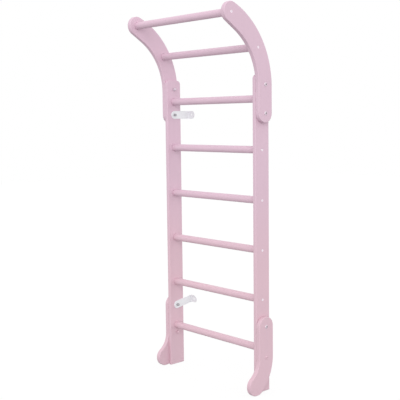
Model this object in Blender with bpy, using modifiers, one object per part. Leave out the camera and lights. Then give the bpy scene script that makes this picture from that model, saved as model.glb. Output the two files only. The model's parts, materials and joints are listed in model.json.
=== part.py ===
"""A climbing ladder for a child's room that stands on the floor and is screwed to a wall.

Two upright side rails hold six round rungs. Curved arms, bolted to the outer faces of the rails, carry two
more bars out over the room, and feet with round toes widen the base. Four bent-strip brackets turn on
the bolts of the arms and feet and reach back to the wall.

Frame: +X runs along the rungs, to the right as seen from the room. +Y points to the wall and +Z up.
The origin is on the floor, midway between the rails and midway through their depth.
"""

import math

import bmesh
import bpy
from mathutils import Matrix, Vector

# Driving dimensions, in metres
CLEARANCE = 0.0003
EDGE_ROUND = 0.003

CLEAR_WIDTH = 0.604
RAIL_THICKNESS = 0.018
RAIL_DEPTH = 0.090
RAIL_TOP_ROUND = 0.020
RAIL_ABOVE_BOLT = 0.045

RUNG_COUNT = 6
RUNG_DIAMETER = 0.035
RUNG_PITCH = 0.235
LOWEST_RUNG = 0.2105
SOCKET_DEPTH = 0.009

ARM_THICKNESS = 0.022
ARM_WIDTH = 0.087
ARM_BOLT_ABOVE_RUNG = 0.0645
ARM_BOLT_BELOW_RUNG = 0.0665
ARM_BEND_ABOVE_RUNG = 0.054
HEAD_RADIUS = 0.045
HEAD_REACH = 0.214
HEAD_RISE = 0.3195
HEAD_UNDERCUT = 0.0075
REAR_BAR_INSET = 0.0467
REAR_BAR_ANGLE = math.radians(31.6)

FOOT_THICKNESS = 0.022
FOOT_WIDTH = 0.093
FOOT_BOLT_ABOVE_RUNG = 0.1095
FOOT_BOLT_BELOW_RUNG = 0.039
FOOT_BEND_HEIGHT = 0.175
TOE_RADIUS = 0.046
TOE_REACH = 0.1125
TOE_FLAT = 0.008
TOE_FILLET = 0.100

SCREW_DIAMETER = 0.0055
SCREW_HEAD_DIAMETER = 0.0125
SCREW_HEAD_DEPTH = 0.004
SCREW_LENGTH = 0.060
SCREW_TIP = 0.006

BOLT_DIAMETER = 0.008
BOLT_HEAD_DIAMETER = 0.018
BOLT_HEAD_HEIGHT = 0.0045
BOLT_GRIP_IN_NUT = 0.010
NUT_ACROSS_FLATS = 0.013
NUT_HEX_HEIGHT = 0.0065
NUT_END_GAP = 0.001
NUT_CROWN = 0.004
NUT_CAP_STEP = 0.0005
WASHER_DIAMETER = 0.017
WASHER_THICKNESS = 0.0016

BRACKET_WIDTH = 0.040
BRACKET_THICKNESS = 0.003
BRACKET_BEND_RADIUS = 0.003
BRACKET_TAB = 0.044
BRACKET_FOLD_GAP = 0.005
WALL_SCREW_HOLE = 0.009
BRACKET_ANGLES = {
    "left_upper": 0.0,
    "left_lower": math.radians(10.0),
    "right_upper": math.radians(-80.0),
    "right_lower": math.radians(84.0),
}

# Facets of the round pieces
BAR_STEPS = 20
SCREW_STEPS = 8
BOLT_STEPS = 12
DOME_STEPS = 4
BEND_STEPS = 4
CHORD_ERROR = 0.0003
SHARP_ANGLE = math.radians(35.0)
WELD = 1e-6

# Heights and places that follow from the driving dimensions
TOP_RUNG = LOWEST_RUNG + (RUNG_COUNT - 1) * RUNG_PITCH
ARM_UPPER_BOLT = TOP_RUNG + ARM_BOLT_ABOVE_RUNG
ARM_LOWER_BOLT = TOP_RUNG - ARM_BOLT_BELOW_RUNG
ARM_BEND = TOP_RUNG + ARM_BEND_ABOVE_RUNG
RAIL_HEIGHT = ARM_UPPER_BOLT + RAIL_ABOVE_BOLT
FOOT_UPPER_BOLT = LOWEST_RUNG + FOOT_BOLT_ABOVE_RUNG
FOOT_LOWER_BOLT = LOWEST_RUNG - FOOT_BOLT_BELOW_RUNG
FRONT_BAR = Vector((-HEAD_REACH, ARM_BEND + HEAD_RISE))

RAIL_INNER = CLEAR_WIDTH / 2
RAIL_OUTER = RAIL_INNER + RAIL_THICKNESS
PLATE_INNER = RAIL_OUTER + CLEARANCE
SECOND_RUNG_GAP = RUNG_PITCH - FOOT_BOLT_ABOVE_RUNG - RUNG_DIAMETER / 2
BRACKET_REACH = SECOND_RUNG_GAP - BRACKET_FOLD_GAP

SIDES = {"left": -1, "right": 1}
PARTS = "climbing_ladder"
CUTTERS = "cutters"

# Colours, roughness and metallic values of the finishes
FINISHES = {
    "pink_paint": ((0.70, 0.50, 0.60), 0.45, 0.0),
    "white_enamel": ((0.86, 0.87, 0.90), 0.40, 0.0),
    "zinc_steel": ((0.93, 0.83, 0.885), 0.35, 1.0),
    "nickel_steel": ((0.71, 0.61, 0.66), 0.35, 0.5),
    "dark_steel": ((0.42, 0.41, 0.42), 0.40, 1.0),
}
BOLT_FINISHES = {
    "arm_upper": "nickel_steel",
    "arm_lower": "nickel_steel",
    "foot_upper": "nickel_steel",
    "foot_lower": "pink_paint",
}
NUT_FINISHES = {
    "arm_upper": "nickel_steel",
    "arm_lower": "dark_steel",
    "foot_upper": "dark_steel",
    "foot_lower": "pink_paint",
}


def clear_scene():
    for old in list(bpy.data.objects):
        bpy.data.objects.remove(old, do_unlink=True)
    for name in (PARTS, CUTTERS):
        bpy.context.scene.collection.children.link(bpy.data.collections.new(name))


def make_finishes():
    for name, (colour, roughness, metallic) in FINISHES.items():
        material = bpy.data.materials.new(name)
        material.use_nodes = True
        shader = material.node_tree.nodes["Principled BSDF"]
        shader.inputs["Base Color"].default_value = (*colour, 1.0)
        shader.inputs["Roughness"].default_value = roughness
        shader.inputs["Metallic"].default_value = metallic


def add_part(name, mesh, finish, matrix):
    """Adds a piece of the ladder at a place. It has its own finish, because like pieces share a mesh."""
    part = bpy.data.objects.new(name, mesh)
    if not mesh.materials:
        mesh.materials.append(None)
    slot = part.material_slots[0]
    slot.link = "OBJECT"
    slot.material = bpy.data.materials[finish]
    part.matrix_world = matrix
    bpy.data.collections[PARTS].objects.link(part)
    return part


def add_cutter(name, mesh, matrix, owner):
    """Adds a helper that is cut from the piece called owner, in that piece's own collection of cutters."""
    group = bpy.data.collections.get(f"{owner}_cutters")
    if group is None:
        group = bpy.data.collections.new(f"{owner}_cutters")
        bpy.data.collections[CUTTERS].children.link(group)
    cutter = bpy.data.objects.new(name, mesh)
    cutter.matrix_world = matrix
    cutter.hide_render = True
    cutter.display_type = "WIRE"
    group.objects.link(cutter)


def cut_with_group(part):
    """Cuts a piece with every helper in its collection of cutters."""
    cut = part.modifiers.new("cuts", "BOOLEAN")
    cut.operation = "DIFFERENCE"
    cut.solver = "EXACT"
    cut.operand_type = "COLLECTION"
    cut.collection = bpy.data.collections[f"{part.name}_cutters"]


def baked(helper):
    """The evaluated mesh of a helper object, welded, after which the helper is removed."""
    bpy.context.view_layer.update()
    graph = bpy.context.evaluated_depsgraph_get()
    mesh = bpy.data.meshes.new_from_object(helper.evaluated_get(graph))
    shape = bmesh.new()
    shape.from_mesh(mesh)
    bmesh.ops.remove_doubles(shape, verts=shape.verts, dist=WELD)
    bmesh.ops.recalc_face_normals(shape, faces=shape.faces)
    shape.to_mesh(mesh)
    shape.free()
    bpy.data.objects.remove(helper, do_unlink=True)
    return mesh


def shade_round(mesh):
    mesh.shade_smooth()
    mesh.set_sharp_from_angle(angle=SHARP_ANGLE)
    return mesh


def turned(name, profile, steps):
    """The mesh of a (radius, height) profile turned about Z. The profile runs down its outer side."""
    mesh = bpy.data.meshes.new(name)
    edges = [(i, i + 1) for i in range(len(profile) - 1)]
    mesh.from_pydata([(radius, 0.0, height) for radius, height in profile], edges, [])
    helper = bpy.data.objects.new(name, mesh)
    bpy.context.scene.collection.objects.link(helper)
    screw = helper.modifiers.new("turn", "SCREW")
    screw.axis = "Z"
    screw.steps = steps
    screw.render_steps = steps
    screw.use_merge_vertices = True
    screw.merge_threshold = WELD
    return shade_round(baked(helper))


def along_x(x, y, z, direction):
    """A place for a turned piece, with its own +Z along +X or -X."""
    turn = Matrix.Rotation(direction * math.pi / 2, 4, "Y")
    return Matrix.Translation((x, y, z)) @ turn


def arc(centre, radius, start, end):
    """Points of a round stretch of an outline, from one angle to another, ends included."""
    step = 2 * math.acos(1 - CHORD_ERROR / radius)
    steps = max(2, math.ceil(abs(end - start) / step))
    angles = [start + (end - start) * i / steps for i in range(steps + 1)]
    return [Vector(centre) + radius * Vector((math.cos(a), math.sin(a))) for a in angles]


def bearing(start, end):
    offset = Vector(end) - Vector(start)
    return math.atan2(offset.y, offset.x)


def ring(centre, radius, steps):
    """Points of a full circle."""
    angles = [2 * math.pi * i / steps for i in range(steps)]
    return [Vector(centre) + radius * Vector((math.cos(a), math.sin(a))) for a in angles]


def add_outline(curve, points):
    """Adds a closed run of points to a flat curve, leaving out points that repeat the one before."""
    places = [p for i, p in enumerate(points) if (p - points[i - 1]).length > WELD]
    spline = curve.splines.new("POLY")
    spline.points.add(len(places) - 1)
    spline.use_cyclic_u = True
    for point, place in zip(spline.points, places):
        point.co = (place.x, place.y, 0.0, 1.0)


def flat_curve(name, thickness, outlines):
    """A filled flat curve of a thickness, with its first outline round any others, which are holes."""
    curve = bpy.data.curves.new(name, "CURVE")
    curve.dimensions = "2D"
    curve.fill_mode = "BOTH"
    curve.extrude = thickness / 2
    for points in outlines:
        add_outline(curve, points)
    helper = bpy.data.objects.new(name, curve)
    bpy.context.scene.collection.objects.link(helper)
    return helper


def board(name, outline, thickness):
    """The mesh of a board with rounded edges: an outline in Y and Z, with its thickness along X."""
    helper = flat_curve(name, thickness - 2 * EDGE_ROUND, [outline])
    helper.data.bevel_depth = EDGE_ROUND
    helper.data.bevel_resolution = 1
    helper.data.offset = -EDGE_ROUND
    mesh = baked(helper)
    outline_to_side = Matrix(((0, 0, 1, 0), (1, 0, 0, 0), (0, 1, 0, 0), (0, 0, 0, 1)))
    mesh.transform(outline_to_side)
    return shade_round(mesh)


def rail_outline():
    half = RAIL_DEPTH / 2
    high = RAIL_TOP_ROUND
    quarter = math.pi / 2
    return [
        Vector((-half, 0.0)),
        Vector((half, 0.0)),
        *arc((half - high, RAIL_HEIGHT - high), high, 0.0, quarter),
        *arc((-half + high, RAIL_HEIGHT - high), high, quarter, 2 * quarter),
    ]


def arm_curves():
    """The centres and radii of the arm's outer and inner curve, which run into the round of its head."""
    half = ARM_WIDTH / 2
    back = HEAD_REACH + half
    front = HEAD_REACH - half
    below = HEAD_RADIUS + HEAD_UNDERCUT
    outer = (back**2 + HEAD_RISE**2 - HEAD_RADIUS**2) / (2 * (back - HEAD_RADIUS))
    inner = (front**2 + HEAD_RISE**2 - below**2) / (2 * (front + below))
    return Vector((half - outer, ARM_BEND)), outer, Vector((-half - inner, ARM_BEND)), inner


def arm_outline():
    """From the round lower end up the outer curve, round the head and back along the inner curve."""
    half = ARM_WIDTH / 2
    outer_centre, outer, inner_centre, inner = arm_curves()
    meets_head = bearing(outer_centre, FRONT_BAR)
    between = (inner_centre - FRONT_BAR).length
    leaves_head = bearing(FRONT_BAR, inner_centre) + 2 * math.pi
    leaves_head -= math.acos((HEAD_RADIUS + inner) / between)
    return [
        *arc((0.0, ARM_LOWER_BOLT), half, math.pi, 2 * math.pi),
        *arc(outer_centre, outer, 0.0, meets_head),
        *arc(FRONT_BAR, HEAD_RADIUS, meets_head, leaves_head),
        *arc(inner_centre, inner, leaves_head - math.pi, 0.0),
    ]


def rear_bar_place():
    _, _, inner_centre, inner = arm_curves()
    reach = inner + REAR_BAR_INSET
    return inner_centre + reach * Vector((math.cos(REAR_BAR_ANGLE), math.sin(REAR_BAR_ANGLE)))


def foot_outline():
    """From the round top down the front, out round the toe, along the floor and up the curved back."""
    half = FOOT_WIDTH / 2
    toe = Vector((TOE_RADIUS - TOE_REACH, TOE_RADIUS))
    heel = toe + Vector((TOE_FLAT, 0.0))
    run = half - heel.x
    rise = FOOT_BEND_HEIGHT - TOE_RADIUS
    back = (run**2 + rise**2 - TOE_RADIUS**2) / (2 * (run - TOE_RADIUS))
    back_centre = Vector((half - back, FOOT_BEND_HEIGHT))
    instep_y = -half - TOE_FILLET
    instep_rise = math.sqrt((TOE_RADIUS + TOE_FILLET) ** 2 - (toe.x - instep_y) ** 2)
    instep = Vector((instep_y, toe.y + instep_rise))
    to_toe = bearing(instep, toe)
    to_heel = bearing(back_centre, heel)
    floor = 1.5 * math.pi
    return [
        *arc((0.0, FOOT_UPPER_BOLT), half, 0.0, math.pi),
        *arc(instep, TOE_FILLET, 0.0, to_toe),
        *arc(toe, TOE_RADIUS, to_toe + math.pi, floor),
        *arc(heel, TOE_RADIUS, floor, to_heel + 2 * math.pi),
        *arc(back_centre, back, to_heel, 0.0),
    ]


def bar_seats():
    """Each bar's name, its place in Y and Z, the inner face that holds it and the board it sits in."""
    seats = [
        (f"rung_{i + 1}", Vector((0.0, LOWEST_RUNG + i * RUNG_PITCH)), RAIL_INNER, "side_rail")
        for i in range(RUNG_COUNT)
    ]
    seats.append(("front_bar", FRONT_BAR, PLATE_INNER, "top_arm"))
    seats.append(("rear_bar", rear_bar_place(), PLATE_INNER, "top_arm"))
    return seats


def seat_thickness(holder):
    return RAIL_THICKNESS if holder == "side_rail" else ARM_THICKNESS


def bar_mesh(inner_face, holder):
    """A bar with a blind pilot hole in each end, turned about Z."""
    end = inner_face + SOCKET_DEPTH - CLEARANCE
    radius = RUNG_DIAMETER / 2
    pilot = SCREW_DIAMETER / 2 + CLEARANCE
    screw_tip = inner_face + seat_thickness(holder) - SCREW_LENGTH
    bottom = screw_tip - 2 * CLEARANCE
    upper = [(0.0, bottom), (pilot, bottom), (pilot, end), (radius, end)]
    lower = [(r, -height) for r, height in reversed(upper)]
    return turned("bar", upper + lower, BAR_STEPS)


def screw_mesh():
    """A countersunk screw with its head's flat face at Z = 0."""
    shank = SCREW_DIAMETER / 2
    head = SCREW_HEAD_DIAMETER / 2
    profile = [
        (0.0, 0.0),
        (head, 0.0),
        (shank, -SCREW_HEAD_DEPTH),
        (shank, SCREW_TIP - SCREW_LENGTH),
        (0.0, -SCREW_LENGTH),
    ]
    return turned("rung_screw", profile, SCREW_STEPS)


def socket_mesh():
    """The cut for the end of a bar, from the inner face of its board at Z = 0."""
    past = EDGE_ROUND
    radius = RUNG_DIAMETER / 2 + CLEARANCE
    profile = [(0.0, SOCKET_DEPTH), (radius, SOCKET_DEPTH), (radius, -past), (0.0, -past)]
    return turned("socket_cut", profile, BAR_STEPS)


def countersink_mesh(thickness):
    """The cut for a screw, from inside the socket out through the board's outer face, measured from its
    inner face at Z = 0."""
    past = EDGE_ROUND
    shank = SCREW_DIAMETER / 2 + CLEARANCE
    head = SCREW_HEAD_DIAMETER / 2 + CLEARANCE
    inside = SOCKET_DEPTH / 2
    profile = [
        (0.0, thickness + past),
        (head, thickness + past),
        (head, thickness - CLEARANCE),
        (shank, thickness - SCREW_HEAD_DEPTH - CLEARANCE),
        (shank, inside),
        (0.0, inside),
    ]
    return turned("countersink_cut", profile, SCREW_STEPS)


def make_bars():
    meshes = {}
    for name, place, inner_face, holder in bar_seats():
        if holder not in meshes:
            meshes[holder] = bar_mesh(inner_face, holder)
        add_part(name, meshes[holder], "pink_paint", along_x(0.0, place.x, place.y, 1))


def make_rung_screws():
    """A screw from the outer face of the board into each end of each bar, sunk just below that face."""
    mesh = screw_mesh()
    socket = socket_mesh()
    countersinks = {name: countersink_mesh(seat_thickness(name)) for name in ("side_rail", "top_arm")}
    for side, sign in SIDES.items():
        for name, place, inner_face, holder in bar_seats():
            outer_face = inner_face + seat_thickness(holder)
            at_head = along_x(sign * (outer_face - CLEARANCE), place.x, place.y, sign)
            add_part(f"{side}_{name}_screw", mesh, "zinc_steel", at_head)
            at_face = along_x(sign * inner_face, place.x, place.y, sign)
            add_cutter(f"{side}_{name}_socket", socket, at_face, f"{side}_{holder}")
            add_cutter(f"{side}_{name}_countersink", countersinks[holder], at_face, f"{side}_{holder}")


def dome(radius, height, base):
    """A (radius, height) profile of a round cap, from its top down to its rim."""
    sphere = (radius**2 + height**2) / (2 * height)
    half_angle = math.acos((sphere - height) / sphere)
    middle = base + height - sphere
    angles = [half_angle * i / DOME_STEPS for i in range(DOME_STEPS + 1)]
    return [(sphere * math.sin(a), middle + sphere * math.cos(a)) for a in angles]


def bolt_mesh(length):
    """A dome-headed bolt, with the underside of its head at Z = 0."""
    shank = BOLT_DIAMETER / 2
    head = dome(BOLT_HEAD_DIAMETER / 2, BOLT_HEAD_HEIGHT, 0.0)
    return turned("bolt", [*head, (shank, 0.0), (shank, -length), (0.0, -length)], BOLT_STEPS)


def nut_mesh():
    """A cap nut with its flat face at Z = 0: a hexagon with a round cap, and a blind bore from below."""
    corner_radius = NUT_ACROSS_FLATS / math.sqrt(3)
    cap_radius = NUT_ACROSS_FLATS / 2 - NUT_CAP_STEP
    bore = BOLT_DIAMETER / 2 + CLEARANCE
    bore_depth = BOLT_GRIP_IN_NUT + NUT_END_GAP
    cap_start = bore_depth + NUT_CROWN - cap_radius
    hexagon = bpy.data.meshes.new("cap_nut")
    shape = bmesh.new()
    bmesh.ops.create_cone(
        shape,
        cap_ends=True,
        segments=6,
        radius1=corner_radius,
        radius2=corner_radius,
        depth=NUT_HEX_HEIGHT,
        matrix=Matrix.Translation((0.0, 0.0, NUT_HEX_HEIGHT / 2)),
    )
    shape.to_mesh(hexagon)
    shape.free()
    nut = bpy.data.objects.new("cap_nut", hexagon)
    inside = NUT_HEX_HEIGHT / 2
    cap = [*dome(cap_radius, cap_radius, cap_start), (cap_radius, inside), (0.0, inside)]
    hole = [(0.0, bore_depth), (bore, bore_depth), (bore, -inside), (0.0, -inside)]
    helpers = [nut]
    for name, profile, operation in (("cap", cap, "UNION"), ("bore", hole, "DIFFERENCE")):
        helper = bpy.data.objects.new(f"nut_{name}", turned(f"nut_{name}", profile, BOLT_STEPS))
        step = nut.modifiers.new(name, "BOOLEAN")
        step.operation = operation
        step.solver = "EXACT"
        step.object = helper
        helpers.append(helper)
    for helper in helpers:
        bpy.context.scene.collection.objects.link(helper)
    mesh = shade_round(baked(nut))
    for helper in helpers[1:]:
        bpy.data.objects.remove(helper, do_unlink=True)
    return mesh


def washer_mesh():
    """A flat ring with its lower face at Z = 0."""
    outer = WASHER_DIAMETER / 2
    inner = BOLT_DIAMETER / 2 + CLEARANCE
    top = WASHER_THICKNESS
    profile = [(inner, top), (outer, top), (outer, 0.0), (inner, 0.0), (inner, top)]
    return turned("washer", profile, BOLT_STEPS)


def hole_mesh(name, length):
    """A round cut for a bolt, from Z = 0 down, that runs past both faces."""
    radius = BOLT_DIAMETER / 2 + CLEARANCE
    past = EDGE_ROUND
    profile = [(0.0, past), (radius, past), (radius, -length - past), (0.0, -length - past)]
    return turned(name, profile, BOLT_STEPS)


def bolted_joints():
    """Each bolt's name, its height, the plate under its head and whether a bracket turns on it."""
    return [
        ("arm_upper", ARM_UPPER_BOLT, "top_arm", ARM_THICKNESS, False),
        ("arm_lower", ARM_LOWER_BOLT, "top_arm", ARM_THICKNESS, True),
        ("foot_upper", FOOT_UPPER_BOLT, "foot", FOOT_THICKNESS, True),
        ("foot_lower", FOOT_LOWER_BOLT, "foot", FOOT_THICKNESS, False),
    ]


def make_bolts():
    """Bolts through plate and rail, with a cap nut inside that bears on a washer or on a bracket."""
    nut = nut_mesh()
    washer = washer_mesh()
    for name, height, plate, thickness, holds_bracket in bolted_joints():
        plate_outer = PLATE_INNER + thickness
        layer = BRACKET_THICKNESS if holds_bracket else WASHER_THICKNESS
        nut_face = RAIL_INNER - layer - 2 * CLEARANCE
        under_head = plate_outer + CLEARANCE
        bolt = bolt_mesh(under_head - nut_face + BOLT_GRIP_IN_NUT)
        hole = hole_mesh(f"{name}_hole", under_head - RAIL_INNER)
        for side, sign in SIDES.items():
            at_head = along_x(sign * under_head, 0.0, height, sign)
            add_part(f"{side}_{name}_bolt", bolt, BOLT_FINISHES[name], at_head)
            at_nut = along_x(sign * nut_face, 0.0, height, -sign)
            add_part(f"{side}_{name}_nut", nut, NUT_FINISHES[name], at_nut)
            if not holds_bracket:
                at_washer = along_x(sign * (RAIL_INNER - CLEARANCE), 0.0, height, -sign)
                add_part(f"{side}_{name}_washer", washer, NUT_FINISHES[name], at_washer)
            for owner in (f"{side}_{plate}", f"{side}_side_rail"):
                add_cutter(f"{owner}_{name}_hole", hole, at_head, owner)


def make_boards():
    boards = (
        ("side_rail", rail_outline(), RAIL_THICKNESS, RAIL_INNER),
        ("top_arm", arm_outline(), ARM_THICKNESS, PLATE_INNER),
        ("foot", foot_outline(), FOOT_THICKNESS, PLATE_INNER),
    )
    for name, outline, thickness, inner_face in boards:
        mesh = board(name, outline, thickness)
        for side, sign in SIDES.items():
            middle = Matrix.Translation((sign * (inner_face + thickness / 2), 0.0, 0.0))
            cut_with_group(add_part(f"{side}_{name}", mesh, "pink_paint", middle))


def bracket_blank():
    """The flat strip that a bracket is bent from, about the bolt hole: length along X, width along Y and
    thickness up from Z = 0. Lines across it let it bend."""
    half = BRACKET_WIDTH / 2
    straight = BRACKET_REACH - BRACKET_THICKNESS - BRACKET_BEND_RADIUS
    neutral = BRACKET_BEND_RADIUS + BRACKET_THICKNESS / 2
    bend = neutral * math.pi / 2
    wall_hole = straight + bend + BRACKET_TAB - BRACKET_BEND_RADIUS - BRACKET_THICKNESS - half
    outline = [
        *arc((0.0, 0.0), half, math.pi / 2, 1.5 * math.pi),
        *arc((wall_hole, 0.0), half, -math.pi / 2, math.pi / 2),
    ]
    bolt_hole = ring((0.0, 0.0), BOLT_DIAMETER / 2 + CLEARANCE, BOLT_STEPS)
    screw_hole = ring((wall_hole, 0.0), WALL_SCREW_HOLE / 2, BOLT_STEPS)
    mesh = baked(flat_curve("bracket", BRACKET_THICKNESS, [outline, bolt_hole, screw_hole]))
    mesh.transform(Matrix.Translation((0.0, 0.0, BRACKET_THICKNESS / 2)))
    return mesh, straight, neutral


def bracket_mesh(sign):
    """A bracket bent from its blank: one leg along the rail's inner face, from the bolt hole at the origin
    to the wall, and a tab that turns inward to lie on the wall."""
    mesh, straight, neutral = bracket_blank()
    quarter = math.pi / 2
    shape = bmesh.new()
    shape.from_mesh(mesh)
    for i in range(BEND_STEPS + 1):
        line = Vector((straight + neutral * quarter * i / BEND_STEPS, 0.0, 0.0))
        geometry = shape.verts[:] + shape.edges[:] + shape.faces[:]
        bmesh.ops.bisect_plane(shape, geom=geometry, plane_co=line, plane_no=(1.0, 0.0, 0.0), dist=WELD)
    for vertex in shape.verts:
        along, across, up = vertex.co
        past = max(0.0, along - straight)
        angle = min(quarter, past / neutral)
        tab = past - angle * neutral
        radius = BRACKET_BEND_RADIUS + BRACKET_THICKNESS - up
        inward = BRACKET_THICKNESS + BRACKET_BEND_RADIUS - radius * math.cos(angle) + tab
        back = min(along, straight) + radius * math.sin(angle)
        vertex.co = (-sign * inward, back, across)
    bmesh.ops.recalc_face_normals(shape, faces=shape.faces)
    shape.to_mesh(mesh)
    shape.free()
    return mesh


def make_brackets():
    """Each bracket turns about X on its bolt, so its origin is on that bolt's axis."""
    heights = {"upper": ARM_LOWER_BOLT, "lower": FOOT_UPPER_BOLT}
    for side, sign in SIDES.items():
        mesh = bracket_mesh(sign)
        for level, height in heights.items():
            place = Matrix.Translation((sign * (RAIL_INNER - CLEARANCE), 0.0, height))
            turn = Matrix.Rotation(BRACKET_ANGLES[f"{side}_{level}"], 4, "X")
            add_part(f"{side}_{level}_bracket", mesh, "white_enamel", place @ turn)


def main():
    clear_scene()
    make_finishes()
    make_bars()
    make_rung_screws()
    make_bolts()
    make_boards()
    make_brackets()


if __name__ == "__main__":
    main()
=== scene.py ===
"""Climbing ladder: the finished look of a painted wall ladder with overhanging bars.

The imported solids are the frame. Each operator makes one piece or group of like pieces in fine mesh, gives
it its finish and puts it in place of the solids that it stands for. The last one makes the stage.
"""

import json
import math

import bmesh
import bpy
from mathutils import Matrix, Vector


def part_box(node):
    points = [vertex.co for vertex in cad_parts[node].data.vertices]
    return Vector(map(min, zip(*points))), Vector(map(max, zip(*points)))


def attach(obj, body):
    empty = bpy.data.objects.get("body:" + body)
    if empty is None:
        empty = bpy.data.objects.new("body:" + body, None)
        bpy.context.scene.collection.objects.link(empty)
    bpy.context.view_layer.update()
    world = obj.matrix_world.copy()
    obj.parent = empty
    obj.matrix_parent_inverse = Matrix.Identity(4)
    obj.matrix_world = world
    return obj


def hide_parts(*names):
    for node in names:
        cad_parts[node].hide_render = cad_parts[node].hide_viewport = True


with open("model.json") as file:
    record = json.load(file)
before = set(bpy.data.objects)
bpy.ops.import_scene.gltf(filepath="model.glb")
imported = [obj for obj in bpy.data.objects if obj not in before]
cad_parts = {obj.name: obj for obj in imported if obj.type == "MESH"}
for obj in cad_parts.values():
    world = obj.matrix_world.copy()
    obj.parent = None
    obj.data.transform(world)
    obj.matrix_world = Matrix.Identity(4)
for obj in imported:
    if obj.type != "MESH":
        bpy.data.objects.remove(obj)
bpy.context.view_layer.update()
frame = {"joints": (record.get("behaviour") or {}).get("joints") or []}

bl_info = {
    "name": "Climbing Ladder",
    "version": (1, 0, 0),
    "blender": (4, 5, 0),
    "location": "View3D > Sidebar > Ladder",
    "description": "Makes a painted climbing ladder with overhanging bars, fasteners and wall brackets",
    "category": "Add Mesh",
}

SIDES = {"left": -1, "right": 1}
LEVELS = ["upper", "lower"]
RUNGS = [f"rung_{i}" for i in range(1, 7)]
OVERHANG_BARS = ["front_bar", "rear_bar"]
ARM_BOLTS = ["arm_upper", "arm_lower"]
FOOT_BOLTS = ["foot_upper", "foot_lower"]
BRACKET_BOLTS = ["arm_lower", "foot_upper"]

# Finishes and the material slots that they belong to
PAINT = ("satin_pink_paint_upright", "pink_paint")
LEVEL_PAINT = ("satin_pink_paint_level", "pink_paint")
ZINC = ("bright_zinc", "zinc_steel")
NICKEL = ("dull_nickel", "nickel_steel")
DARK = ("dark_plate", "dark_steel")
POWDER_COAT = ("white_powder_coat", "white_enamel")

# Groups of like fasteners, each with its bolted joints and its finish
BOLT_GROUPS = {
    "upper_arm_bolts": (["arm_upper"], NICKEL),
    "bracket_bolts": (BRACKET_BOLTS, NICKEL),
    "lower_foot_bolts": (["foot_lower"], PAINT),
}
NUT_GROUPS = {
    "upper_arm_nuts": (["arm_upper"], NICKEL),
    "bracket_nuts": (BRACKET_BOLTS, DARK),
    "lower_foot_nuts": (["foot_lower"], PAINT),
}
WASHER_GROUPS = {
    "upper_arm_washers": (["arm_upper"], NICKEL),
    "lower_foot_washers": (["foot_lower"], PAINT),
}

# How far each bracket is turned about its bolt from level
BRACKET_TURNS = {
    "left_upper_bracket": math.radians(0.0),
    "left_lower_bracket": math.radians(10.0),
    "right_upper_bracket": math.radians(-80.0),
    "right_lower_bracket": math.radians(84.0),
}

# Fineness of the meshes
QUARTER = math.pi / 2
ARC_STEP = math.radians(3.0)
ROUND_STEPS = 5
HOLE_STEPS = 48
SCREW_STEPS = 96
BOLT_STEPS = 72
BAR_SIDES = 72
BEND_STEPS = 14
DOME_STEPS = 10
EDGE_LAND = 0.002
SHARP_ANGLE = math.radians(32.0)
FLAT_FACE_WEIGHT = 100
WELD = 1e-6

# Proportions of the fasteners' small forms
SCREW_EDGE = 1 / 40
RECESS_FLOOR = 0.55
MOUTH_FLARE = 1.06
SOCKET_FLOOR = 0.9
SOCKET_LAND = 0.66
SOCKET_EASE = 1 / 25
SHANK_CHAMFER = 0.25
NUT_FACE = 0.96
NUT_CHAMFER = math.radians(30.0)
NUT_NECK = 0.0003
NUT_CAP_WALL = 0.001
NUT_CAP_TIP = 1 / 12
BORE_FLARE = 1.1
BORE_FLARE_RISE = 1 / 8
WASHER_EASE = 1 / 6

# Fixed seeds for the chance turns of the fasteners
SCREW_SEED = 3
BOLT_SEED = 5
NUT_SEED = 8
WASHER_SEED = 2

# How finely the grain lies across and along the wood, and how strongly the finishes show their marks
GRAIN_ACROSS = 70.0
GRAIN_ALONG = 2.6
GRAIN_SHOWN = 0.22
PAINT_SHINE = 0.42
COAT_WEAR = 0.5
PLATE_CAST = (0.97, 1.0, 1.04)
# Dark colour for recesses: dirt, and painted shade where light hardly reaches into them
RECESS_DIRT_AND_SHADE = (0.12, 0.05, 0.08, 1.0)
DIRT_AND_SHADE_SHOWN = 0.9
BARE_METAL = 1.0
NOISE_MIDDLE = 0.5

WHITE = (1.0, 1.0, 1.0, 1.0)
FLOOR_HALF_WIDTH = 12.0
SENSOR_WIDTH = 36.0


def middle(node):
    """The centre of a solid's box."""
    low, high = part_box(node)
    return (low + high) / 2


def extent(node):
    """The size of a solid's box."""
    low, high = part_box(node)
    return high - low


def in_side_plane(node):
    """Where a solid lies in the plane of the boards: its place in Y and Z."""
    return middle(node).yz


# Sizes and colours that a user would change


def number(name, default, description, **limits):
    return bpy.props.FloatProperty(name=name, default=default, description=description, **limits)


def length(name, default, description):
    return number(name, default, description, min=0.0, precision=4, unit="LENGTH")


def share(name, default, description):
    return number(name, default, description, min=0.0, max=1.0, subtype="FACTOR")


def angle(name, degrees, description):
    return number(name, math.radians(degrees), description, subtype="ANGLE")


def colour(name, default, description):
    return bpy.props.FloatVectorProperty(
        name=name, description=description, default=default, min=0.0, max=1.0, size=3, subtype="COLOR"
    )


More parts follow.
